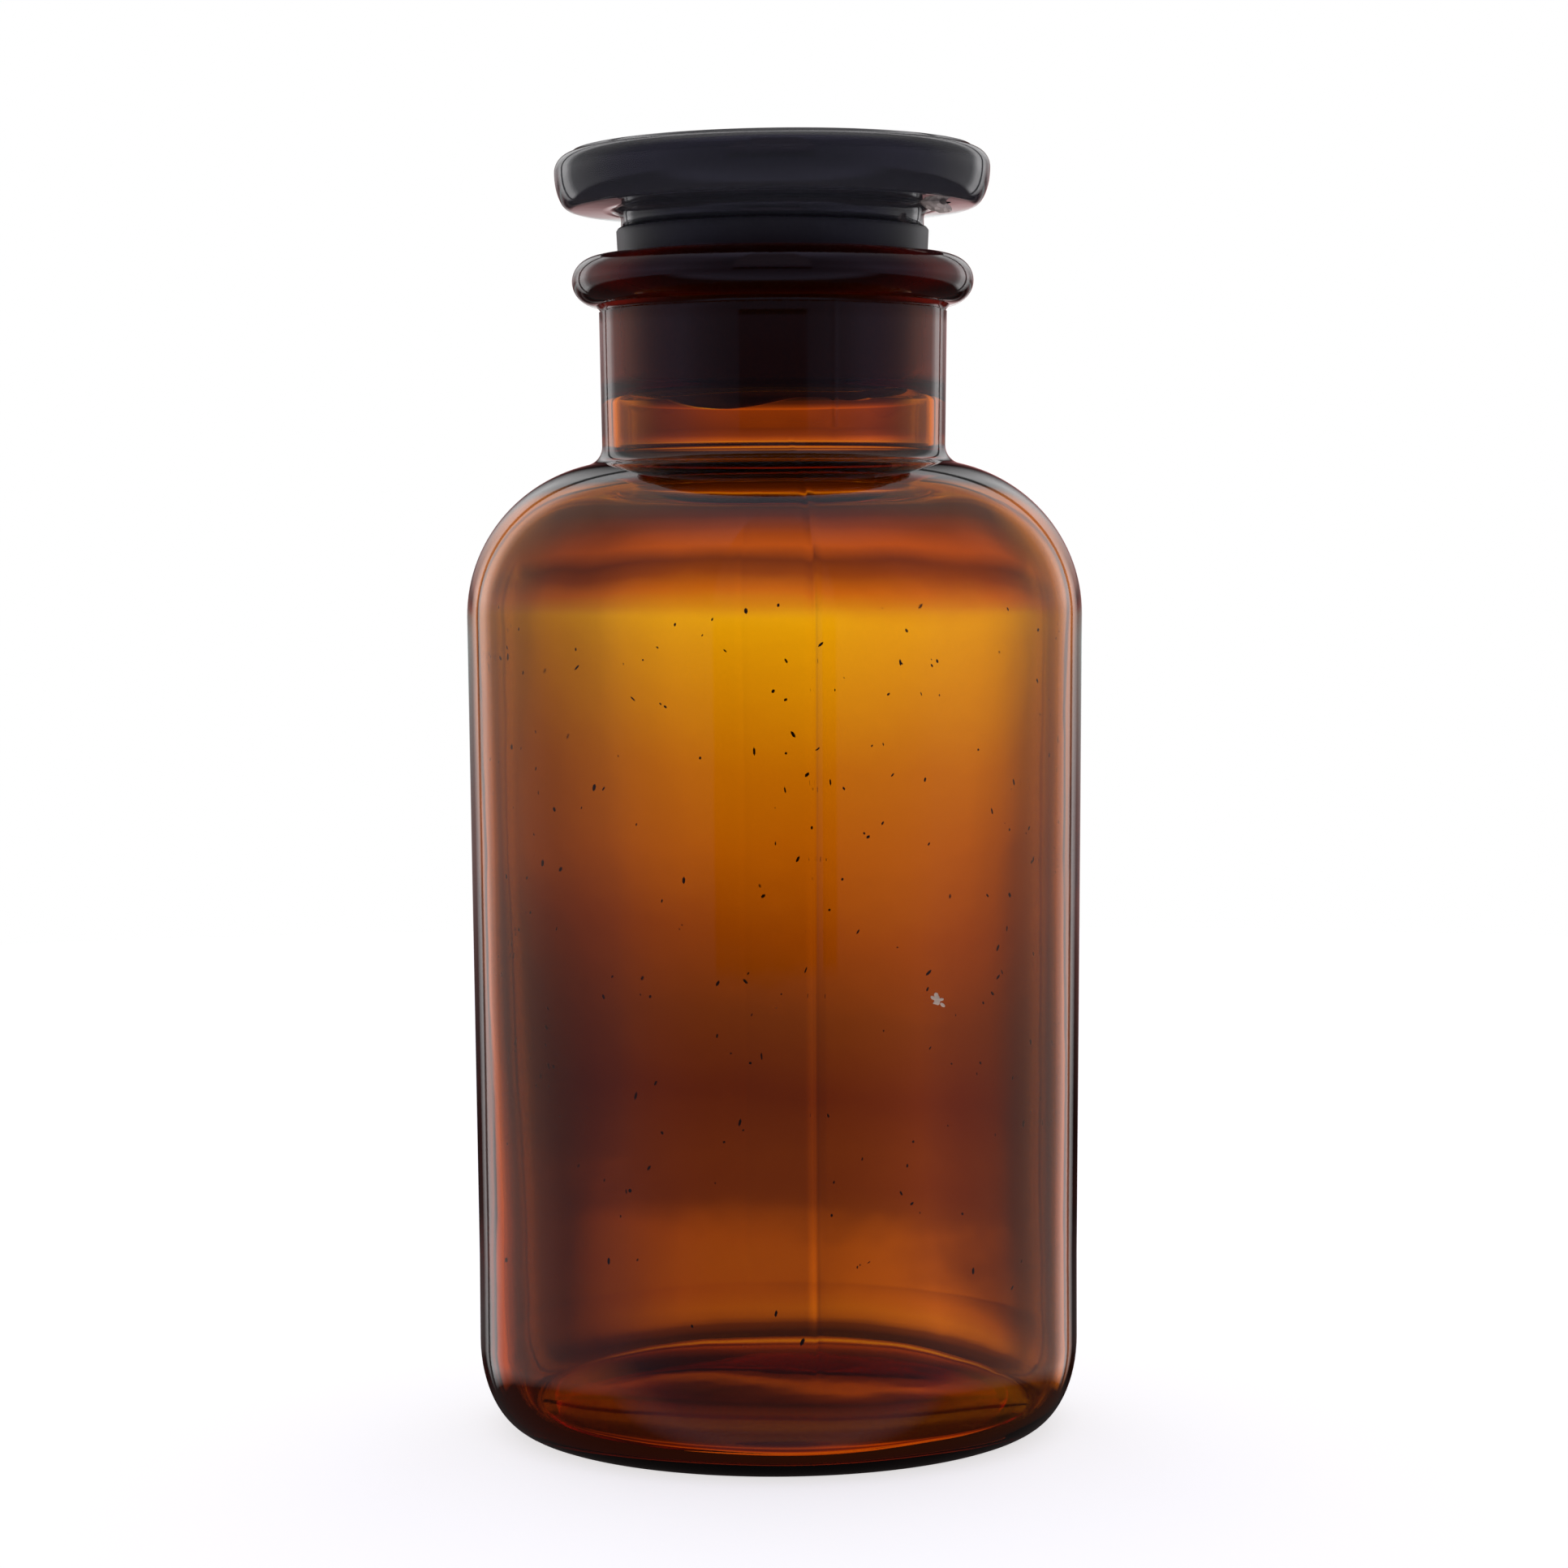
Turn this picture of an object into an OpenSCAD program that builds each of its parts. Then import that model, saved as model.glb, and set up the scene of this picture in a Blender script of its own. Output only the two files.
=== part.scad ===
// Wide-mouth reagent bottle in blown glass, with a hollow ground-glass stopper under a flat round head.
// The bottle stands on the plane z = 0 and its axis is the z axis. All sizes are in millimetres.

/* [Body] */
// Largest diameter, where the wall meets the shoulder
body_d = 106; // [90:1:130]
// Diameter just above the heel, a little less because the mould has draft
heel_d = 103.9; // [88:0.1:128]
// Height at which the shoulder starts to turn in
shoulder_z = 140.2; // [120:0.1:170]
// Width of the shoulder's quarter ellipse
shoulder_w = 27; // [24:0.5:30]
// Height of the shoulder's quarter ellipse
shoulder_h = 26.6; // [20:0.1:30]
// Width of the rounded heel
heel_w = 8.6; // [6:0.1:12]
// Height of the rounded heel
heel_h = 15; // [10:0.5:20]

/* [Base] */
// Width of the flat ring that the bottle stands on
foot_w = 4; // [2:0.5:8]
// How far the middle of the base is pushed up
punt_h = 6.5; // [3:0.5:9]
// Thickness of the glass in the middle of the base
base_t = 3.5; // [2.5:0.5:7]

/* [Wall] */
// Thickness of the wall under the shoulder
wall_top_t = 2.2; // [1.5:0.1:3]
// Thickness of the wall at a quarter of the body's height
wall_low_t = 3.2; // [2:0.1:4.5]

/* [Neck] */
// Outside diameter where the neck meets its bead
neck_d = 59.8; // [54:0.1:64]
// Outside diameter at the neck's foot
neck_foot_d = 59.1; // [54:0.1:64]
// Thickness of the neck below the ground seat
neck_t = 2.7; // [1.6:0.1:3]
// Height of the flat rim round the mouth
rim_z = 201.6; // [195:0.1:210]
// Diameter of the bead round the mouth
bead_d = 69; // [64:0.1:76]
// Height of the bead
bead_h = 8.3; // [6:0.1:10]
// Depth of the ground seat below the rim
seat_h = 21.5; // [14:0.5:24]

/* [Stopper] */
// Diameter of the ground plug level with the rim
plug_d = 53.2; // [48:0.1:54]
// Diameter lost for each millimetre of the ground taper
taper = 0.1; // [0.05:0.01:0.12]
// Gap all round between the ground plug and its seat
seat_gap = 0.05; // [0.02:0.01:0.1]
// Height of the ground plug that stands above the rim
plug_above = 4.6; // [2:0.1:8]
// Length of the plug below the rim, on its longest side
plug_below = 25.4; // [15:0.1:28]
// Slope in degrees of the plug's open end, which is cracked off by hand
end_slope = 3; // [0:0.5:4]
// Thickness of the hollow plug's wall
plug_t = 2.8; // [2:0.1:4]
// Diameter of the plain shank between the plug and the head
shank_d = 52; // [46:0.1:53]
// Height of the shank
shank_h = 4; // [3:0.1:9]

/* [Stopper head] */
// Diameter of the head
head_d = 74.8; // [66:0.1:84]
// Thickness of the head, without its raised face
head_t = 9.6; // [7:0.1:12]
// Diameter of the raised face on top of the head
face_d = 69.2; // [60:0.1:72]
// Height of the raised face
face_h = 0.5; // [0.2:0.1:1]

/* [Hidden] */
$fn = 128;
// Steps in a quarter turn of a rounded outline
quarter = 14;
body_r = body_d / 2;
heel_r = heel_d / 2;
neck_r = neck_d / 2;
neck_foot_r = neck_foot_d / 2;
bead_r = bead_d / 2;
// Outer edge of the flat ring under the base
foot_r = heel_r - heel_w;
// Height at which the wall's draft starts
draft_z = 2 * heel_h;
// Height for the middle of the wall's thickening
thick_z = shoulder_z / 4;
// Angle at which the shoulder's ellipse gives way to the fillet under the neck
shoulder_sweep = 77;
shoulder_end = [body_r - shoulder_w * (1 - cos(shoulder_sweep)),
                shoulder_z + shoulder_h * sin(shoulder_sweep)];
shoulder_slope = atan(shoulder_h * cos(shoulder_sweep) / (shoulder_w * sin(shoulder_sweep)));
neck_fillet = (shoulder_end[0] - neck_foot_r) / (1 - sin(shoulder_slope));
neck_foot_z = shoulder_end[1] + neck_fillet * cos(shoulder_slope);
bead_z = rim_z - bead_h / 2;
bead_w = 4.4;
// Height of the plain step between the neck and its bead
bead_step = 0.4;
seat_foot_z = rim_z - seat_h;
// Chamfer at the mouth of the seat
seat_chamfer = 0.6;
// How far the bore takes to widen from the seat to the neck
seat_relief = 2;
// Width and height of the rounded corner between the wall and the floor
corner_w = heel_w - wall_low_t;
corner_h = 11.4;
// Height of the floor's dome over the punt
dome_h = 6.4;
// Radius of the edge where the neck's bore meets the inside of the shoulder
bore_edge = 2;
// Extra glass that gathers under the neck
shoulder_t = 0.9;
head_z = rim_z + plug_above + shank_h;
face_z = head_z + head_t;
head_r = head_d / 2;
// Height of the head's edge above its widest place
head_edge = 0.32 * head_t;
// Sideways and upward size of the rounded step from the shank to the head
shank_fillet = 1;
// Chamfer between the ground plug and the shank
plug_chamfer = 0.4;
// Top of the hollow, and the height of its rounded end
hollow_top_z = head_z - 2;
hollow_dome = 6;

// Points on an upright ellipse round [x, z], from angle a to angle b
function arc(x, z, w, h, a, b, steps = quarter) =
    [for (i = [0:steps]) let (t = a + (b - a) * i / steps) [x + w * cos(t), z + h * sin(t)]];

// Radius of the ground plug at a height
function plug_r(z) = plug_d / 2 + (z - rim_z) * taper / 2;

// Outside of the bottle, from the middle of the base to the rim
function bottle_outside() = concat(
    arc(0, 0, foot_r - foot_w, punt_h, 90, 0),
    arc(foot_r, heel_h, heel_w, heel_h, -90, 0),
    [[heel_r, draft_z]],
    arc(body_r - shoulder_w, shoulder_z, shoulder_w, shoulder_h, 0, shoulder_sweep, 2 * quarter),
    arc(neck_foot_r + neck_fillet, neck_foot_z, neck_fillet, neck_fillet, 270 - shoulder_slope, 180),
    [[neck_r, rim_z - bead_h - bead_step]],
    arc(bead_r - bead_w, bead_z, bead_w, bead_h / 2, -88, 90, 2 * quarter));

// Outside radius of the neck at a height
function neck_at(z) = neck_foot_r
    + (neck_r - neck_foot_r) * (z - neck_foot_z) / (rim_z - bead_h - neck_foot_z);

// Inside of the bottle, from the rim down to the middle of the base
function bottle_inside() = let (
        top_r = body_r - wall_top_t,
        low_r = heel_r - wall_low_t,
        bore_r = neck_foot_r - neck_t,
        turn_w = top_r - bore_r - bore_edge / 2,
        turn_h = shoulder_h - wall_top_t - shoulder_t,
        floor_z = punt_h + base_t - dome_h)
    concat(
        [[plug_r(rim_z) + seat_gap + seat_chamfer, rim_z],
         [plug_r(rim_z - seat_chamfer) + seat_gap, rim_z - seat_chamfer],
         [plug_r(seat_foot_z) + seat_gap, seat_foot_z],
         [neck_at(seat_foot_z - seat_relief) - neck_t, seat_foot_z - seat_relief],
         [bore_r, neck_foot_z]],
        arc(bore_r + bore_edge, shoulder_z + turn_h + bore_edge,
            bore_edge, bore_edge, 180, 250, quarter / 2),
        arc(top_r - turn_w, shoulder_z, turn_w, turn_h, 85, 0, 2 * quarter),
        [[low_r, thick_z]],
        arc(low_r - corner_w, floor_z + corner_h, corner_w, corner_h, 0, -90),
        arc(0, floor_z, low_r - corner_w, dome_h, 5, 90));

module bottle() {
    color("saddlebrown")
        rotate_extrude()
            polygon(concat(bottle_outside(), bottle_inside()));
}

// Outside of the stopper, from the middle of its top down to the plug's end
function stopper_outside(end_z) = concat(
    [[0, face_z + face_h], [face_d / 2 - face_h, face_z + face_h], [face_d / 2, face_z]],
    arc(head_r - head_edge, face_z - head_edge, head_edge, head_edge, 60, 0),
    arc(head_r - head_edge, head_z + head_t - head_edge, head_edge, head_t - head_edge, 0, -90),
    [[shank_d / 2 + shank_fillet, head_z],
     [shank_d / 2, head_z - shank_fillet],
     [shank_d / 2, rim_z + plug_above + plug_chamfer],
     [plug_r(rim_z + plug_above), rim_z + plug_above - plug_chamfer],
     [plug_r(end_z), end_z]]);

// Inside of the stopper's hollow plug, from its end up to the middle of the dome
function stopper_inside(end_z) = concat(
    [[plug_r(end_z) - plug_t, end_z]],
    arc(0, hollow_top_z - hollow_dome, shank_d / 2 - plug_t, hollow_dome, 0, 90));

module stopper() {
    end_z = rim_z - plug_below;
    color("maroon")
        difference() {
            rotate_extrude()
                polygon(concat(stopper_outside(end_z), stopper_inside(end_z)));
            translate([0, plug_d / 2, end_z])
                rotate([-end_slope, 0, 0])
                    translate([-plug_d, -2 * plug_d, -plug_d])
                        cube([2 * plug_d, 3 * plug_d, plug_d]);
        }
}

bottle();
stopper();
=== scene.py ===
import math
import random
import bpy
from mathutils import Matrix, Vector, noise


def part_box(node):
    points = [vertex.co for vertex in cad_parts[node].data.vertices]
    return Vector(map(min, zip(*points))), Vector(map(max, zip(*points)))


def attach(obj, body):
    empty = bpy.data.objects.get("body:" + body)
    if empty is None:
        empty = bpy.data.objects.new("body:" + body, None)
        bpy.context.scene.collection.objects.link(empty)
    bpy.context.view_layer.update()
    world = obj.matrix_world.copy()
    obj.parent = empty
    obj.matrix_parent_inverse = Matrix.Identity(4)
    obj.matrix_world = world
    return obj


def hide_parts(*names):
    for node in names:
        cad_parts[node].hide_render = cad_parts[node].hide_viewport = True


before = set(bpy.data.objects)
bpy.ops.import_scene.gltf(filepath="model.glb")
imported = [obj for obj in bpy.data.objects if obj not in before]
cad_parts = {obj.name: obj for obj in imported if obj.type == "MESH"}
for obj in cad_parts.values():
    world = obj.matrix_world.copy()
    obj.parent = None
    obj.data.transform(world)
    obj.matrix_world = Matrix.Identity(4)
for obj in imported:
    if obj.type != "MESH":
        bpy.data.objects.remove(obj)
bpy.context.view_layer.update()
mm = 0.001
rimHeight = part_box("bottle")[1].z / mm
bodyRadius = (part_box("bottle")[1].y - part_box("bottle")[0].y) / 2 / mm
headRadius = (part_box("stopper")[1].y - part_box("stopper")[0].y) / 2 / mm
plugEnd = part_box("stopper")[0].z / mm

# the values to change stand beside the code that uses them, in millimetres and degrees
# azimuths count from the front, positive towards +X


def arc(x, z, width, height, start, end, steps):
    # points on an upright ellipse
    turns = [math.radians(start + (end - start) * i / steps) for i in range(steps + 1)]
    return [(x + width * math.cos(t), z + height * math.sin(t)) for t in turns]


def rungs(start, end, count):
    # evenly spaced points between two, without the first
    return [tuple(a + (b - a) * i / count for a, b in zip(start, end)) for i in range(1, count + 1)]


groundJoint = {
    "mouthRadius": 26.6,
    "taper": 0.05,  # of the radius, on the height
    "gap": 0.05,
    "length": 21.5,
    "relief": 2,
    "chamfer": 0.6,
    "roughness": 0.42,
}


def plugRadius(height):
    # of the ground taper, which the plug and its seat share
    return groundJoint["mouthRadius"] + (height - rimHeight) * groundJoint["taper"]


def lathe(name, outline, columns, turn):
    # a small disc, then ring after ring extruded along the outline, closed at the far pole
    bpy.ops.object.select_all(action="DESELECT")
    radius, height = outline[0]
    bpy.ops.mesh.primitive_circle_add(
        vertices=columns, radius=radius * mm, fill_type="TRIFAN",
        location=(0, 0, height * mm), rotation=(0, 0, math.radians(turn)))
    piece = bpy.context.object
    piece.name = name
    bpy.ops.object.transform_apply(location=True, rotation=True, scale=True)
    bpy.ops.object.mode_set(mode="EDIT")
    bpy.ops.mesh.select_mode(type="EDGE")
    bpy.ops.mesh.select_all(action="SELECT")
    bpy.ops.mesh.region_to_loop()
    for nextRadius, nextHeight in outline[1:]:
        rise = (0, 0, (nextHeight - height) * mm)
        bpy.ops.mesh.extrude_region_move(TRANSFORM_OT_translate={"value": rise})
        scale = nextRadius / radius
        bpy.ops.transform.resize(value=(scale, scale, 1), center_override=(0, 0, nextHeight * mm))
        radius, height = nextRadius, nextHeight
    bpy.ops.mesh.merge(type="CENTER")
    bpy.ops.mesh.select_all(action="SELECT")
    bpy.ops.mesh.normals_make_consistent(inside=False)
    bpy.ops.object.mode_set(mode="OBJECT")
    return piece


bottleLook = {
    "columns": 192,  # steps round the glass
    "footWidth": 4,
    "heelInset": 1.05,  # draft of the mould
    "heelSize": (8.6, 15),  # width, height
    "punt": 6.5,  # push-up under the base
    "floor": 3.5,
    "floorDome": 6.4,
    "cornerHeight": 11.4,
    "shoulder": (27, 26.6),
    "shoulderSweep": 77,
    "shoulderWall": 0.9,
    "shoulderHeight": 140.2,
    "neckFoot": 29.55,
    "neckTop": 29.9,
    "neckStart": 169.3,
    "neckLength": 24,
    "bead": (34.5, 4.4, 8.3),  # outer radius, half width, height
    "wallTop": 2.2,
    "wallLow": 3.2,
    "neckWall": 2.7,
    "unevenWall": 0.22,
    "wallShift": 0.8,  # how much thicker one side is low down
    "lumpyFloor": 0.2,
    "bodySeam": 7,  # azimuths of the seams, from the front
    "neckSeam": 20.125,
    "seamHeight": 0.07,
    "farSeamShare": 0.3,  # the other body seam is fainter
    "absorb": (80, 300, 1500),  # of red, green and blue in each metre of glass
    "paintedVeil": 0,
}


def bottleOutside():
    look = bottleLook
    heelRadius = bodyRadius - look["heelInset"]
    heelWidth, heelHeight = look["heelSize"]
    footRadius = heelRadius - heelWidth
    width, height = look["shoulder"]
    base = look["shoulderHeight"]
    sweep = math.radians(look["shoulderSweep"])
    endX = bodyRadius - width * (1 - math.cos(sweep))
    endZ = base + height * math.sin(sweep)
    slope = math.atan(height * math.cos(sweep) / (width * math.sin(sweep)))
    fillet = (endX - look["neckFoot"]) / (1 - math.sin(slope))
    filletZ = endZ + fillet * math.cos(slope)
    beadRadius, beadWidth, beadHeight = look["bead"]
    ledge = rimHeight - beadHeight - 0.4
    return (
        arc(0, 0, footRadius - look["footWidth"], look["punt"], 89, 0, 22)
        + rungs((footRadius - look["footWidth"], 0), (footRadius, 0), 3)
        + arc(footRadius, heelHeight, heelWidth, heelHeight, -90, 0, 18)[1:]
        + rungs((heelRadius, heelHeight), (heelRadius, 2 * heelHeight), 5)
        + rungs((heelRadius, 2 * heelHeight), (bodyRadius, base), 32)
        + arc(bodyRadius - width, base, width, height, 0, look["shoulderSweep"], 28)[1:]
        + arc(look["neckFoot"] + fillet, filletZ, fillet, fillet, 270 - math.degrees(slope), 180, 9)[1:]
        + rungs((look["neckFoot"], filletZ), (look["neckTop"], ledge - 0.8), 10)
        + [(look["neckTop"] + 0.02, ledge - 0.75), (look["neckTop"] - 0.16, ledge - 0.55)]
        + [(look["neckTop"] - 0.14, ledge - 0.35), (look["neckTop"] + 0.05, ledge - 0.1)]
        + arc(beadRadius - beadWidth, rimHeight - beadHeight / 2, beadWidth, beadHeight / 2, -86, 90, 30)
    )


def bottleInside():
    look = bottleLook
    joint = groundJoint
    seatFoot = rimHeight - joint["length"]
    bore = look["neckFoot"] - look["neckWall"]
    topRadius = bodyRadius - look["wallTop"]
    lowRadius = bodyRadius - look["heelInset"] - look["wallLow"]
    turnWidth = topRadius - bore - 1
    base = look["shoulderHeight"]
    turnHeight = look["shoulder"][1] - look["wallTop"] - look["shoulderWall"]
    dome = look["floorDome"]
    floor = look["punt"] + look["floor"] - dome
    corner = look["heelSize"][0] - look["wallLow"]
    cornerHeight = look["cornerHeight"]
    relief = seatFoot - joint["relief"]
    spread = look["neckTop"] - look["neckFoot"]
    neckInside = bore + spread * (relief - look["neckStart"]) / look["neckLength"]
    mouth = (plugRadius(rimHeight - joint["chamfer"]) + joint["gap"], rimHeight - joint["chamfer"])
    return (
        [(plugRadius(rimHeight) + joint["gap"] + joint["chamfer"], rimHeight), mouth]
        + rungs(mouth, (plugRadius(seatFoot) + joint["gap"], seatFoot), 12)
        + rungs((plugRadius(seatFoot) + joint["gap"], seatFoot), (neckInside, relief), 3)
        + rungs((neckInside, relief), (bore, 170), 5)
        + arc(bore + 2, base + turnHeight + 2, 2, 2, 180, 250, 8)
        + arc(topRadius - turnWidth, base, turnWidth, turnHeight, 85, 0, 30)
        + rungs((topRadius, base), (lowRadius, base / 4), 28)
        + rungs((lowRadius, base / 4), (lowRadius, floor + cornerHeight), 6)
        + arc(lowRadius - corner, floor + cornerHeight, corner, cornerHeight, 0, -90, 18)[1:]
        + arc(0, floor, lowRadius - corner, dome, 4, 89, 24)
    )


def isInside(x, y, z):
    # true for a point of the bottle's inner wall below the ground seat
    look = bottleLook
    radius = math.hypot(x, y)
    if z > 164 or z < 1.5:  # the neck, and the ring it stands on
        return False
    if z < look["heelSize"][1]:
        drop = 1 - z / look["heelSize"][1]
        outside = bodyRadius - look["heelInset"] - look["heelSize"][0] * (1 - math.sqrt(1 - drop * drop))
        hollow = 1 - (radius / (bodyRadius - 13.65)) ** 2  # the push-up ends 13.65 inside the body
        return radius < outside - 1.5 and z > look["punt"] * math.sqrt(max(0, hollow)) + 1.5
    if z > look["shoulderHeight"]:
        width, height = look["shoulder"]
        rise = min(1, (z - look["shoulderHeight"]) / height)
        outside = bodyRadius - width + width * math.sqrt(1 - rise * rise)
    else:
        outside = bodyRadius
    return radius < outside - 1.6


def unevenInside(piece):
    # blown glass: the inner wall wanders, is thicker low on one side, and the floor is lumpy
    look = bottleLook
    for vertex in piece.data.vertices:
        x, y, z = (c / mm for c in vertex.co)
        if not isInside(x, y, z):
            continue
        radius = max(math.hypot(x, y), 0.001)
        spot = Vector((x, y, z * 0.45))
        wander = noise.noise(spot * 0.03) + 0.2 * noise.noise(spot * 0.08)
        low = max(0, 1 - z / 95)
        wall = min(1, max(0, (z - 5) / 13))
        push = look["unevenWall"] * wander * wall
        x += x / radius * push + look["wallShift"] * low * radius / 50
        y += y / radius * push
        z += (1 - wall) * look["lumpyFloor"] * (wander + noise.noise(Vector((x, y, 3)) * 0.035))
        vertex.co = Vector((x, y, z)) * mm


def selectColumn(piece, azimuth, lowest, highest, outer):
    # one column of outer edges, at an azimuth counted from the front
    direction = Vector((math.sin(math.radians(azimuth)), -math.cos(math.radians(azimuth))))
    def onColumn(index):
        x, y, z = piece.data.vertices[index].co / mm
        radius = math.hypot(x, y)
        ahead = (x * direction.x + y * direction.y) / max(radius, 0.001)
        return ahead > 0.99999 and lowest < z < highest and outer(radius, z)
    for edge in piece.data.edges:
        edge.select = all(onColumn(i) for i in edge.vertices)


def raiseSeam(piece, azimuth, lowest, highest, outer, height):
    # a fine ridge where the halves of the mould met
    bpy.ops.object.select_all(action="DESELECT")
    bpy.context.view_layer.objects.active = piece
    piece.select_set(True)
    bpy.ops.object.mode_set(mode="EDIT")
    bpy.ops.mesh.select_mode(type="EDGE")
    bpy.ops.mesh.select_all(action="DESELECT")
    bpy.ops.object.mode_set(mode="OBJECT")
    selectColumn(piece, azimuth, lowest, highest, outer)
    bpy.ops.object.mode_set(mode="EDIT")
    bpy.ops.mesh.bevel(offset=0.28 * mm, segments=2, affect="EDGES", profile=0.5)
    bpy.ops.mesh.select_all(action="DESELECT")
    bpy.ops.object.mode_set(mode="OBJECT")
    selectColumn(piece, azimuth, lowest, highest, outer)
    middle = {i for edge in piece.data.edges if edge.select for i in edge.vertices}
    for index in middle:
        spot = piece.data.vertices[index].co
        grow = 1 + height * mm / math.hypot(spot.x, spot.y)
        spot.x *= grow
        spot.y *= grow
    for edge in piece.data.edges:
        edge.select = False


def smooth(piece, angle):
    bpy.ops.object.select_all(action="DESELECT")
    bpy.context.view_layer.objects.active = piece
    piece.select_set(True)
    bpy.ops.object.shade_smooth_by_angle(angle=math.radians(angle))


def makeBottle():
    look = bottleLook
    piece = lathe("amberBottle", bottleOutside() + bottleInside(), look["columns"], look["bodySeam"])
    unevenInside(piece)

    def outerBody(radius, z):
        return radius > bodyRadius - 1.6 or not isInside(0, radius, z) and z > 142

    raiseSeam(piece, look["bodySeam"], 16, 166, outerBody, look["seamHeight"])
    raiseSeam(piece, look["bodySeam"] + 180, 16, 166, outerBody, look["seamHeight"] * look["farSeamShare"])
    raiseSeam(piece, look["neckSeam"], 171, 192.4, lambda radius, z: radius > 29, look["seamHeight"])
    smooth(piece, 40)
    return piece


stopperLook = {
    "columns": 160,
    "plugWall": 2.8,
    "plugAbove": 4.6,
    "shank": (26, 4),  # radius, height
    "hollow": 6,  # height of the domed end of the hollow
    "head": 9.6,
    "headEdge": 3.07,
    "faceStep": 0.5,
    "faceInset": 2.8,
    "endBumps": ((0, 60, 1.6), (88, 34, 8), (-98, 28, 5), (165, 22, 2.2)),  # azimuth, width, height
    "endReach": 16,
    "tilt": 0.55,
    "seam": -5,
    "seamHeight": 0.06,
    "chip": (27.4, -9, 210.9),
    "chipSize": (3.4, 2.6, 1.7),
    "absorb": (1100, 1700, 2500),
    # the stopper's milky bluish share is a painted veil of reflected light
    "paintedVeil": 0.03,
}


def stopperOutside():
    look = stopperLook
    shankRadius, shankHeight = look["shank"]
    shoulder = rimHeight + look["plugAbove"]
    under = shoulder + shankHeight
    face = under + look["head"]
    edge = look["headEdge"]
    faceRadius = headRadius - look["faceInset"]
    rim = headRadius - edge
    return (
        [(1, face + look["faceStep"])]
        + rungs((1, face + look["faceStep"]), (faceRadius - 0.7, face + look["faceStep"]), 12)
        + [(faceRadius - 0.3, face + look["faceStep"] - 0.08), (faceRadius, face + 0.1)]
        + arc(rim, face - edge, edge, edge, 66, 0, 12)
        + arc(rim, face - edge, edge, look["head"] - edge, 0, -90, 16)[1:]
        + rungs((rim, under), (shankRadius + 2.2, under - 0.25), 5)
        + arc(shankRadius + 2, under - 2.2, 2, 2, 90, 180, 7)
        + [(shankRadius, shoulder + 0.55), (shankRadius + 0.12, shoulder + 0.32)]
        + [(plugRadius(shoulder) - 0.25, shoulder + 0.2), (plugRadius(shoulder), shoulder - 0.2)]
        + rungs((plugRadius(shoulder), shoulder - 0.2), (plugRadius(plugEnd + 0.4), plugEnd + 0.4), 24)
    )


def stopperInside():
    look = stopperLook
    bottom = plugRadius(plugEnd) - look["plugWall"]
    top = rimHeight + look["plugAbove"] + look["shank"][1] - 2
    dome = look["hollow"]
    upper = look["shank"][0] - look["plugWall"]
    return (
        [(plugRadius(plugEnd) - 0.5, plugEnd), (bottom + 0.5, plugEnd), (bottom, plugEnd + 0.5)]
        + rungs((bottom, plugEnd + 0.5), (upper, top - dome), 18)
        + arc(0, top - dome, upper, dome, 0, 88, 18)[1:]
    )


def waveEnd(piece):
    # the plug was cracked off by hand, so its end rises in a few soft waves round the rim
    reach = stopperLook["endReach"]
    for vertex in piece.data.vertices:
        x, y, z = (c / mm for c in vertex.co)
        if z > plugEnd + reach or math.hypot(x, y) < 14:
            continue
        azimuth = math.degrees(math.atan2(x, -y))
        rise = 0.15
        for middle, width, height in stopperLook["endBumps"]:
            away = (azimuth - middle + 180) % 360 - 180
            rise += height * math.exp(-(away / width) ** 2)
        vertex.co.z += rise * (1 - (z - plugEnd) / reach) * mm


def chipHead(piece):
    # a shell-shaped chip out of the underside of the head
    bpy.ops.object.select_all(action="DESELECT")
    spot = [c * mm for c in stopperLook["chip"]]
    bpy.ops.mesh.primitive_ico_sphere_add(subdivisions=3, radius=1, location=spot, rotation=(0.2, 0.5, 0.4))
    cutter = bpy.context.object
    cutter.scale = [c * mm for c in stopperLook["chipSize"]]
    bpy.ops.object.transform_apply(location=True, rotation=True, scale=True)
    for vertex in cutter.data.vertices:
        vertex.co += vertex.normal * noise.noise(vertex.co * 900) * 0.5 * mm
    bpy.ops.object.select_all(action="DESELECT")
    bpy.context.view_layer.objects.active = piece
    piece.select_set(True)
    cut = piece.modifiers.new("chip", "BOOLEAN")
    cut.operation = "DIFFERENCE"
    cut.solver = "EXACT"
    cut.object = cutter
    bpy.ops.object.modifier_apply(modifier="chip")
    bpy.data.objects.remove(cutter)


def tiltHead(piece):
    # the pressed head sits a little askew on its shank, lower on the left
    start = rimHeight + stopperLook["plugAbove"] + 1
    span = stopperLook["shank"][1]
    lean = math.tan(math.radians(stopperLook["tilt"]))
    for vertex in piece.data.vertices:
        share = min(1, max(0, (vertex.co.z / mm - start) / span))
        vertex.co.z -= share * lean * (headRadius * mm - vertex.co.x)


def makeStopper():
    look = stopperLook
    piece = lathe("amberStopper", stopperOutside() + stopperInside(), look["columns"], look["seam"])
    waveEnd(piece)
    raiseSeam(piece, look["seam"], 210, 219, lambda radius, z: radius > 34, look["seamHeight"])
    chipHead(piece)
    tiltHead(piece)
    smooth(piece, 40)
    return piece


seedLook = {"count": 260, "size": (0.14, 0.4), "colour": (0.015, 0.004, 0.002)}


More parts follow.
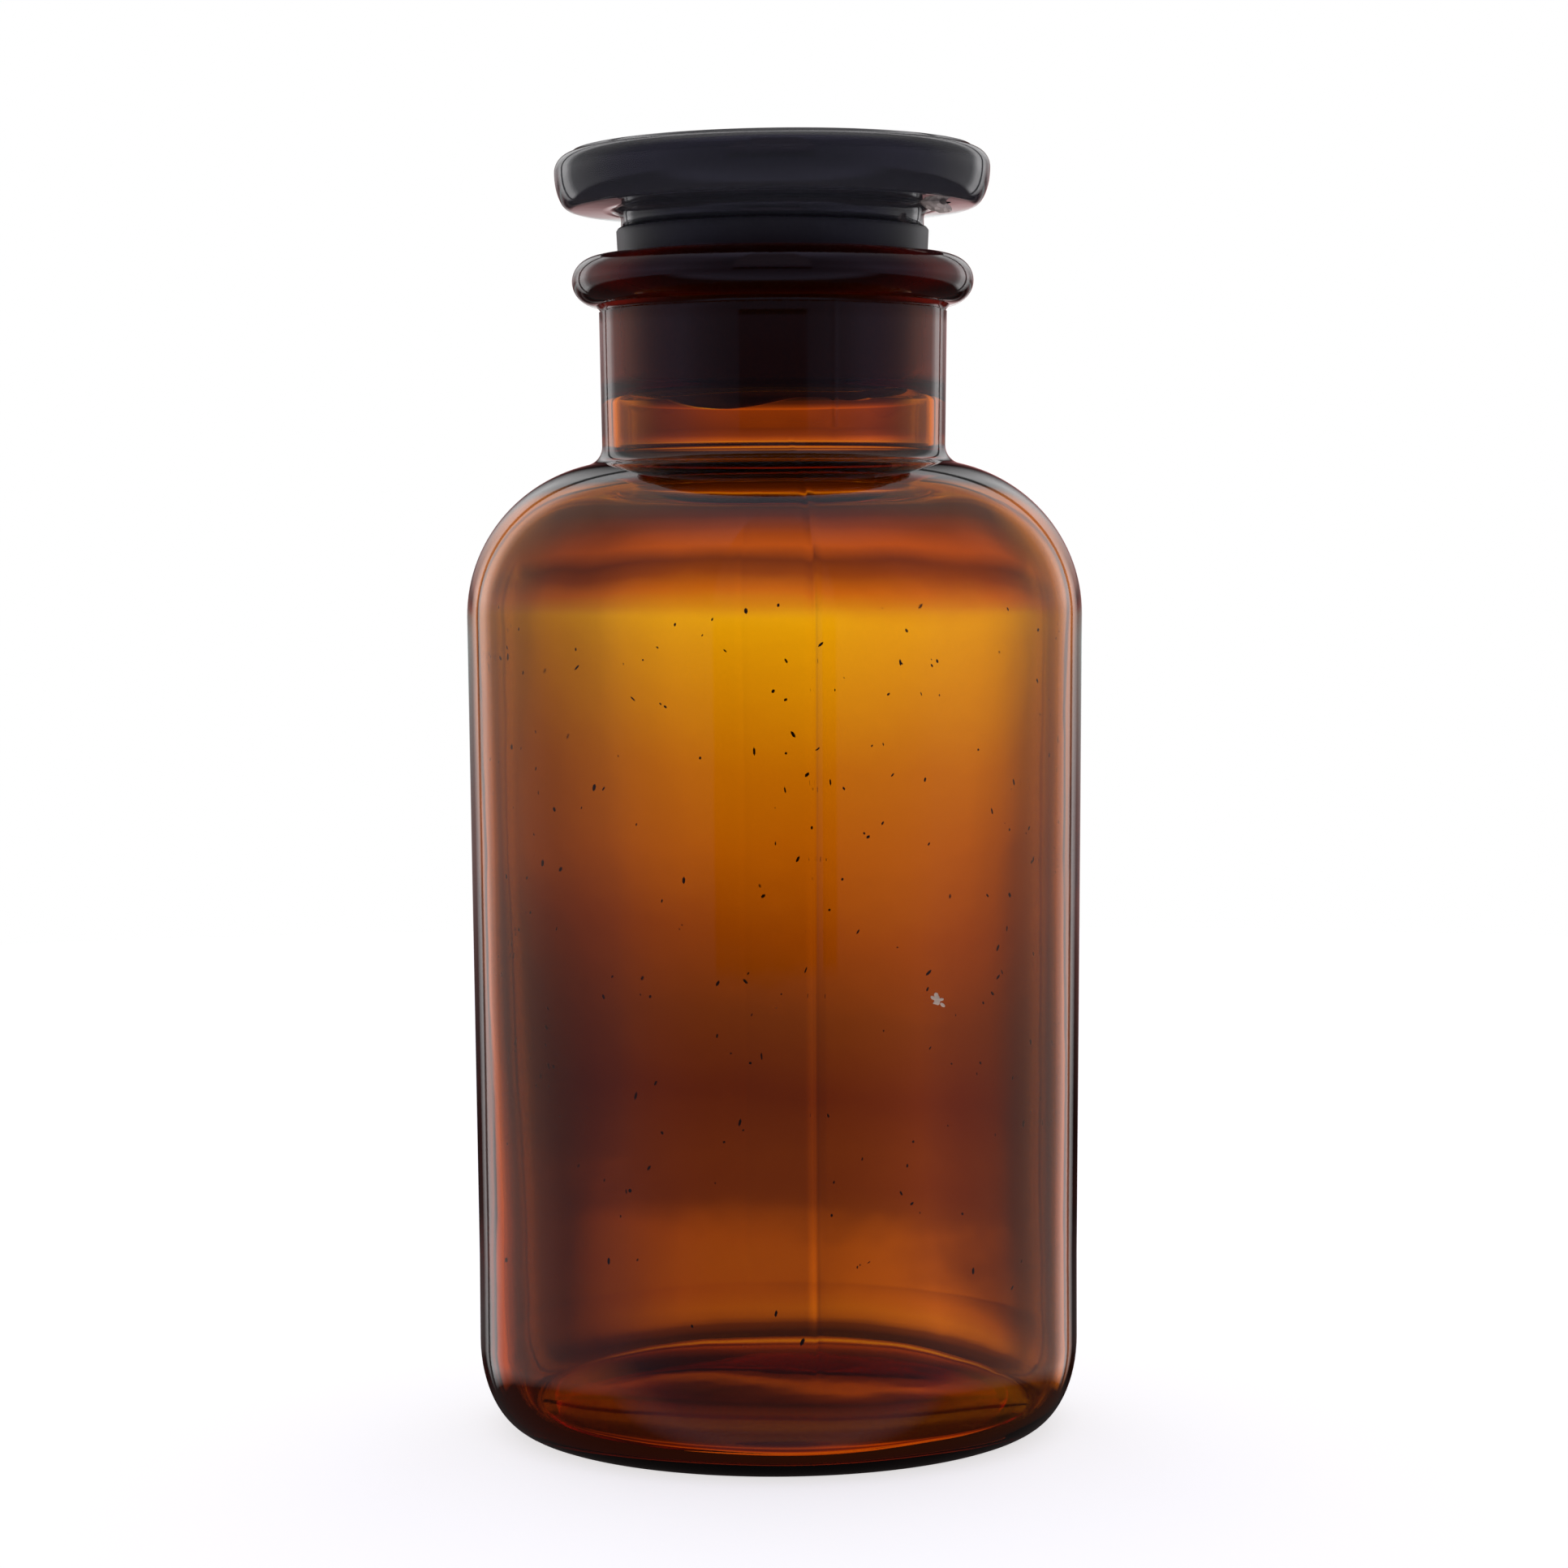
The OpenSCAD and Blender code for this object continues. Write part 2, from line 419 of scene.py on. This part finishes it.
def makeSeeds():
    # the small dark seeds and cords of old glass, as flecks on the inner wall
    look = seedLook
    chance = random.Random(11)
    bpy.ops.object.select_all(action="DESELECT")
    bpy.ops.mesh.primitive_ico_sphere_add(
        subdivisions=1, radius=0.1 * mm, location=(0, (3.5 - bodyRadius) * mm, 110 * mm))
    piece = bpy.context.object
    piece.name = "glassSeeds"
    bpy.ops.object.transform_apply(location=True, rotation=True, scale=True)
    bpy.ops.object.mode_set(mode="EDIT")
    for seed in range(look["count"]):
        azimuth = math.radians(chance.uniform(-180, 180))
        height = 18 + 124 * chance.random() ** 0.75
        radius = bodyRadius - 4.6 + 1.2 * height / 140
        size = chance.uniform(*look["size"]) * mm
        place = (radius * math.sin(azimuth) * mm, -radius * math.cos(azimuth) * mm, height * mm)
        slim = chance.uniform(0.5, 1)
        bpy.ops.mesh.primitive_ico_sphere_add(
            subdivisions=1, radius=1, location=place, rotation=(0, chance.uniform(-0.9, 0.9), azimuth),
            scale=(size * slim, size * 0.4, size * chance.uniform(0.8, 2.2)))
    bpy.ops.mesh.select_all(action="SELECT")
    bpy.ops.mesh.normals_make_consistent(inside=False)
    bpy.ops.object.mode_set(mode="OBJECT")
    piece.data.materials.append(plainMaterial("seedGlass", look["colour"], 0.3, 900))
    return piece


splashLook = {"azimuth": 30, "height": 78, "size": 1.3, "drops": 14, "colour": (0.72, 0.56, 0.44)}


def makeSplash():
    # a dried splash on the outside of the wall
    look = splashLook
    chance = random.Random(4)
    turn = math.radians(look["azimuth"])
    bpy.ops.object.select_all(action="DESELECT")
    bpy.ops.mesh.primitive_ico_sphere_add(
        subdivisions=1, radius=0.1 * mm, location=(0, (1 - bodyRadius) * mm, look["height"] * mm))
    piece = bpy.context.object
    piece.name = "driedSplash"
    bpy.ops.object.transform_apply(location=True, rotation=True, scale=True)
    bpy.ops.object.mode_set(mode="EDIT")
    for drop in range(look["drops"]):
        around = turn + chance.gauss(0, 0.4) * look["size"] / bodyRadius
        height = look["height"] + chance.gauss(0, 0.45) * look["size"]
        radius = bodyRadius - 1.05 + 1.05 * (height - 30) / 110
        size = chance.uniform(0.15, 0.5) * look["size"] * mm
        place = (radius * math.sin(around) * mm, -radius * math.cos(around) * mm, height * mm)
        bpy.ops.mesh.primitive_ico_sphere_add(
            subdivisions=2, radius=1, location=place, rotation=(0, chance.uniform(-1, 1), around),
            scale=(size, 0.05 * mm, size * chance.uniform(0.4, 0.9)))
    bpy.ops.mesh.select_all(action="SELECT")
    bpy.ops.mesh.normals_make_consistent(inside=False)
    bpy.ops.object.mode_set(mode="OBJECT")
    piece.data.materials.append(plainMaterial("driedDrops", look["colour"], 0.8, 1500))
    return piece


lipLook = {"place": (27.4, -10, 209.7), "size": (3.2, 2, 1.1), "colour": (0.8, 0.68, 0.62)}


def makeChipLip():
    # the pale broken lip of the chip under the head
    look = lipLook
    bpy.ops.object.select_all(action="DESELECT")
    bpy.ops.mesh.primitive_ico_sphere_add(
        subdivisions=3, radius=1, location=[c * mm for c in look["place"]],
        rotation=(0.1, 0.35, 0.2), scale=[c * mm for c in look["size"]])
    piece = bpy.context.object
    piece.name = "chipLip"
    bpy.ops.object.transform_apply(location=True, rotation=True, scale=True)
    for vertex in piece.data.vertices:
        vertex.co += vertex.normal * noise.noise(vertex.co * 1100) * 0.45 * mm
    smooth(piece, 25)
    piece.data.materials.append(plainMaterial("brokenGlass", look["colour"], 0.25, 700))
    return piece


def plainMaterial(name, colour, roughness, grain):
    material = bpy.data.materials.new(name)
    material.use_nodes = True
    nodes, links = material.node_tree.nodes, material.node_tree.links
    shader = nodes["Principled BSDF"]
    shader.inputs["Roughness"].default_value = roughness
    place = nodes.new("ShaderNodeTexCoord")
    speckle = nodes.new("ShaderNodeTexNoise")
    speckle.inputs["Scale"].default_value = grain
    links.new(place.outputs["Object"], speckle.inputs["Vector"])
    shade = nodes.new("ShaderNodeMix")
    shade.data_type = "RGBA"
    shade.inputs["A"].default_value = (*[c * 0.55 for c in colour], 1)
    shade.inputs["B"].default_value = (*colour, 1)
    links.new(speckle.outputs["Fac"], shade.inputs["Factor"])
    links.new(shade.outputs["Result"], shader.inputs["Base Color"])
    return material


def markGround(piece, test):
    # the ground surfaces are marked on the mesh, and the material is rough there
    mark = piece.data.attributes.new("ground", "FLOAT", "POINT")
    values = []
    for vertex in piece.data.vertices:
        x, y, z = vertex.co / mm
        values.append(1.0 if test(math.hypot(x, y), z) else 0.0)
    mark.data.foreach_set("value", values)


def amberGlass(name, absorb, paintedVeil):
    # absorb is how much each metre of glass takes of red, green and blue; the milky share with its bluish
    # base colour is a painted veil, standing in for the bluish reflection of the front of the tent
    material = bpy.data.materials.new(name)
    material.use_nodes = True
    nodes, links = material.node_tree.nodes, material.node_tree.links
    shader = nodes["Principled BSDF"]
    output = nodes["Material Output"]
    # painted reflection: the bluish base colour of the milky share stands in for the reflected bluish veil
    shader.inputs["Base Color"].default_value = (0.8, 0.8, 1, 1) if paintedVeil else (1, 1, 1, 1)
    shader.inputs["Transmission Weight"].default_value = 1 - paintedVeil
    shader.inputs["IOR"].default_value = 1.52
    volume = nodes.new("ShaderNodeVolumeAbsorption")
    strongest = max(absorb)
    volume.inputs["Density"].default_value = strongest
    volume.inputs["Color"].default_value = (*[1 - a / strongest for a in absorb], 1)
    links.new(volume.outputs["Volume"], output.inputs["Volume"])
    place = nodes.new("ShaderNodeTexCoord")
    ground = nodes.new("ShaderNodeAttribute")
    ground.attribute_name = "ground"
    smudge = nodes.new("ShaderNodeTexNoise")
    smudge.inputs["Scale"].default_value = 45
    smudge.inputs["Detail"].default_value = 5
    links.new(place.outputs["Object"], smudge.inputs["Vector"])
    polish = nodes.new("ShaderNodeMapRange")
    polish.inputs["From Min"].default_value = 0.5
    polish.inputs["From Max"].default_value = 0.8
    polish.inputs["To Min"].default_value = 0.0
    polish.inputs["To Max"].default_value = 0.09
    links.new(smudge.outputs["Fac"], polish.inputs["Value"])
    grind = nodes.new("ShaderNodeMath")
    grind.operation = "MULTIPLY_ADD"
    grind.inputs[1].default_value = groundJoint["roughness"]
    links.new(ground.outputs["Fac"], grind.inputs[0])
    links.new(polish.outputs["Result"], grind.inputs[2])
    links.new(grind.outputs["Value"], shader.inputs["Roughness"])
    peel = nodes.new("ShaderNodeTexNoise")
    peel.inputs["Scale"].default_value = 60
    peel.inputs["Detail"].default_value = 2
    links.new(place.outputs["Object"], peel.inputs["Vector"])
    bump = nodes.new("ShaderNodeBump")
    bump.inputs["Strength"].default_value = 0.06
    bump.inputs["Distance"].default_value = 0.0005
    links.new(peel.outputs["Fac"], bump.inputs["Height"])
    links.new(bump.outputs["Normal"], shader.inputs["Normal"])
    return material


def makeFloor():
    bpy.ops.object.select_all(action="DESELECT")
    bpy.ops.mesh.primitive_circle_add(vertices=96, radius=0.9, fill_type="NGON", location=(0, 0, 0))
    floor = bpy.context.object
    floor.name = "paleFloor"
    material = bpy.data.materials.new("palePaper")
    material.use_nodes = True
    shader = material.node_tree.nodes["Principled BSDF"]
    shader.inputs["Base Color"].default_value = (0.93, 0.93, 0.93, 1)
    shader.inputs["Roughness"].default_value = 0.9
    shader.inputs["Specular IOR Level"].default_value = 0.1
    shader.inputs["Emission Color"].default_value = (1, 1, 1, 1)
    shader.inputs["Emission Strength"].default_value = 0.7
    floor.data.materials.append(material)
    floor.visible_transmission = False  # the glass shows the tent alone
    floor.visible_glossy = False


def ramp(nodes, links, source, low, high, stops):
    # a colour ramp over a range of source; each stop is a place in that range and a level or colour
    span = nodes.new("ShaderNodeMapRange")
    span.inputs["From Min"].default_value = low
    span.inputs["From Max"].default_value = high
    links.new(source, span.inputs["Value"])
    node = nodes.new("ShaderNodeValToRGB")
    links.new(span.outputs["Result"], node.inputs["Fac"])
    elements = node.color_ramp.elements
    elements.remove(elements[1])
    for number, (place, level) in enumerate(stops):
        share = (place - low) / (high - low)
        if number == 0:
            element = elements[0]
            element.position = share
        else:
            element = elements.new(share)
        element.color = (*level, 1) if isinstance(level, tuple) else (level, level, level, 1)
    return node.outputs["Color"]


def divide(nodes, links, first, second):
    node = nodes.new("ShaderNodeMath")
    node.operation = "DIVIDE"
    links.new(first, node.inputs[0])
    links.new(second, node.inputs[1])
    return node.outputs["Value"]


def blendColours(nodes, links, kind, factor, first, second):
    mix = nodes.new("ShaderNodeMix")
    mix.data_type = "RGBA"
    mix.blend_type = kind
    for socket, source in (("Factor", factor), ("A", first), ("B", second)):
        if isinstance(source, (int, float, tuple)):
            mix.inputs[socket].default_value = source
        else:
            links.new(source, mix.inputs[socket])
    return mix.outputs["Result"]


tent = {
    # how high, then the light in red and in green; blue is as green
    "glow": [(-0.25, (0.02, 0.015)), (-0.222, (0.06, 0.04)), (-0.207, (0.18, 0.14)), (-0.195, (0.22, 0.18)),
             (-0.182, (0.2, 0.14)), (-0.17, (0.09, 0.055)), (-0.149, (0.065, 0.03)), (-0.128, (0.1, 0.06)),
             (-0.107, (0.18, 0.105)), (-0.086, (0.29, 0.2)), (-0.065, (0.34, 0.27)), (-0.035, (0.47, 0.5)),
             (-0.022, (0.52, 0.59)), (-0.014, (0.46, 0.46)), (0.003, (0.36, 0.2)), (0.018, (0.17, 0.075)),
             (0.033, (0.1, 0.04)), (0.055, (0.3, 0.13)), (0.1, (0.14, 0.06)), (0.16, (0.05, 0.02)),
             (0.28, (0.01, 0.005))],
    # how far across, then the share of that light, above and below
    "glowWidth": [(-0.4, 0.3), (-0.25, 0.22), (-0.15, 0.3), (-0.085, 0.58), (-0.04, 0.92), (0.02, 1.0),
                  (0.08, 1.0), (0.15, 0.5), (0.25, 0.26), (0.4, 0.22)],
    "lowWidth": [(-0.4, 0.2), (-0.15, 0.12), (-0.085, 0.58), (-0.05, 0.95), (0.0, 1.0), (0.025, 1.3),
                 (0.055, 1.55), (0.08, 1.2), (0.11, 0.95), (0.15, 0.3), (0.25, 0.08)],
    "brightness": 2.5,
}


def makeWorld():
    # a light tent: a soft glow behind the bottle, white sides, a dim front with the slit for the camera
    world = bpy.data.worlds.new("lightTent")
    bpy.context.scene.world = world
    world.use_nodes = True
    nodes, links = world.node_tree.nodes, world.node_tree.links
    background = nodes["Background"]
    place = nodes.new("ShaderNodeTexCoord")
    split = nodes.new("ShaderNodeSeparateXYZ")
    links.new(place.outputs["Generated"], split.inputs["Vector"])
    across, along, up = (split.outputs[axis] for axis in "XYZ")
    around = ramp(nodes, links, along, -1, 1, [
        (-0.9, 0.09), (-0.67, 0.14), (-0.48, 0.2), (-0.25, 0.21), (0, 0.25), (0.33, 0.38), (0.64, 0.4),
        (0.7, 0.75), (0.74, 1.2), (0.81, 1.1), (0.82, 0.1), (0.84, 0.1), (0.85, 1.0), (1, 1.1)])
    rising = ramp(nodes, links, up, -1, 1, [
        (-0.97, 0.12), (-0.85, 0.5), (-0.5, 0.55), (-0.3, 0.4), (-0.15, 0.36), (0.0, 0.4),
        (0.07, 0.5), (0.2, 0.45), (0.39, 0.35), (0.75, 0.4), (0.97, 0.8)])
    tint = ramp(nodes, links, along, -1, 1, [(-0.3, (1.0, 0.95, 1.4)), (0.3, (1.0, 0.99, 1.0))])
    rising = blendColours(nodes, links, "MULTIPLY", 1.0, rising, tint)
    walls = blendColours(nodes, links, "MULTIPLY", 1.0, around, rising)
    glow = ramp(nodes, links, up, -0.3, 0.3, [(spot, (*level, level[1])) for spot, level in tent["glow"]])
    high = ramp(nodes, links, across, -0.5, 0.5, tent["glowWidth"])
    low = ramp(nodes, links, across, -0.5, 0.5, tent["lowWidth"])
    blend = ramp(nodes, links, up, -0.3, 0.3, [(-0.15, 1.0), (-0.09, 0.0)])
    width = blendColours(nodes, links, "MIX", blend, high, low)
    patch = blendColours(nodes, links, "MULTIPLY", 1.0, glow, width)
    behind = ramp(nodes, links, across, -1, 1, [(-0.53, 0.0), (-0.4, 1.0), (0.4, 1.0), (0.53, 0.0)])
    backOnly = ramp(nodes, links, along, -1, 1, [(0.4, 0.0), (0.7, 1.0)])
    near = ramp(nodes, links, across, -1, 1, [(-0.24, 0.0), (-0.12, 1.0), (0.12, 1.0), (0.24, 0.0)])
    lowBand = ramp(nodes, links, up, -1, 1, [(0.0, 1.0), (0.3, 0.0)])
    highBand = ramp(nodes, links, up, -1, 1, [(0.45, 1.0), (0.7, 0.0)])
    reach = blendColours(nodes, links, "MIX", lowBand, near, behind)
    where = blendColours(nodes, links, "MULTIPLY", 1.0, reach, backOnly)
    where = blendColours(nodes, links, "MULTIPLY", 1.0, where, highBand)
    scene = blendColours(nodes, links, "MIX", where, walls, patch)
    under = ramp(nodes, links, up, -1, 1, [(-0.32, 1.0), (-0.25, 0.0)])
    beyond = ramp(nodes, links, along, -1, 1, [(-0.6, 0.0), (-0.35, 1.0)])
    dark = blendColours(nodes, links, "MULTIPLY", 1.0, under, beyond)
    scene = blendColours(nodes, links, "MIX", dark, scene, (0.015, 0.012, 0.012, 1))
    # the dim gap in the front cloth
    slope = divide(nodes, links, across, along)
    gapAcross = ramp(nodes, links, slope, -1, 1, [(-0.42, 0.0), (-0.4, 1.0), (0.4, 1.0), (0.42, 0.0)])
    gapUp = ramp(nodes, links, up, -0.3, 1, [(-0.128, 0.0), (-0.122, 1.0), (0.88, 1.0), (0.99, 0.0)])
    gapFront = ramp(nodes, links, along, -1, 1, [(-0.2, 1.0), (-0.1, 0.0)])
    gap = blendColours(nodes, links, "MULTIPLY", 1.0, gapAcross, gapUp)
    gap = blendColours(nodes, links, "MULTIPLY", 1.0, gap, gapFront)
    gapLevel = ramp(nodes, links, up, -0.3, 0.3, [
        (-0.02, 0.006), (0.07, (0.045, 0.036, 0.055)), (0.29, (0.07, 0.06, 0.08))])
    scene = blendColours(nodes, links, "MIX", gap, scene, gapLevel)
    path = nodes.new("ShaderNodeLightPath")
    level = tent["brightness"]
    sky = blendColours(nodes, links, "MULTIPLY", 1.0, scene, (level, level, level, 1))
    scene = blendColours(nodes, links, "MIX", path.outputs["Is Camera Ray"], sky, (1, 1, 1, 1))
    links.new(scene, background.inputs["Color"])


view = {"lens": 87.58, "height": 0.739, "distance": 660, "aside": 1.45, "down": 3.3, "lean": -0.32}


def makeCamera():
    lens = bpy.data.cameras.new("camera")
    lens.sensor_width = 36
    lens.lens = view["lens"]
    camera = bpy.data.objects.new("camera", lens)
    bpy.context.scene.collection.objects.link(camera)
    height = rimHeight * view["height"]
    camera.matrix_world = (
        Matrix.Translation((view["aside"] * mm, -view["distance"] * mm, height * mm))
        @ Matrix.Rotation(math.radians(90 - view["down"]), 4, "X")
        @ Matrix.Rotation(math.radians(view["lean"]), 4, "Z"))
    bpy.context.scene.camera = camera


bpy.context.scene.view_settings.view_transform = "Standard"
makeCamera()
makeWorld()
makeFloor()
print("stage ready")
bottle = makeBottle()
seatFoot = rimHeight - groundJoint["length"]
markGround(bottle, lambda radius, z: seatFoot - 0.2 < z < rimHeight - 0.3 and radius < plugRadius(z) + 0.6)
bottle.data.materials.append(amberGlass("amberGlass", bottleLook["absorb"], bottleLook["paintedVeil"]))
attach(bottle, "bottle")
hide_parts("bottle")
print("bottle ready")
stopper = makeStopper()
shoulder = rimHeight + stopperLook["plugAbove"]
markGround(stopper, lambda radius, z: z < shoulder + 0.1 and radius > plugRadius(z) - 0.4)
stopper.data.materials.append(amberGlass("stopperGlass", stopperLook["absorb"], stopperLook["paintedVeil"]))
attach(stopper, "stopper")
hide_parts("stopper")
print("stopper ready")
seeds = makeSeeds()
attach(seeds, "bottle")
splash = makeSplash()
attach(splash, "bottle")
chipLip = makeChipLip()
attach(chipLip, "stopper")
print("flecks ready")
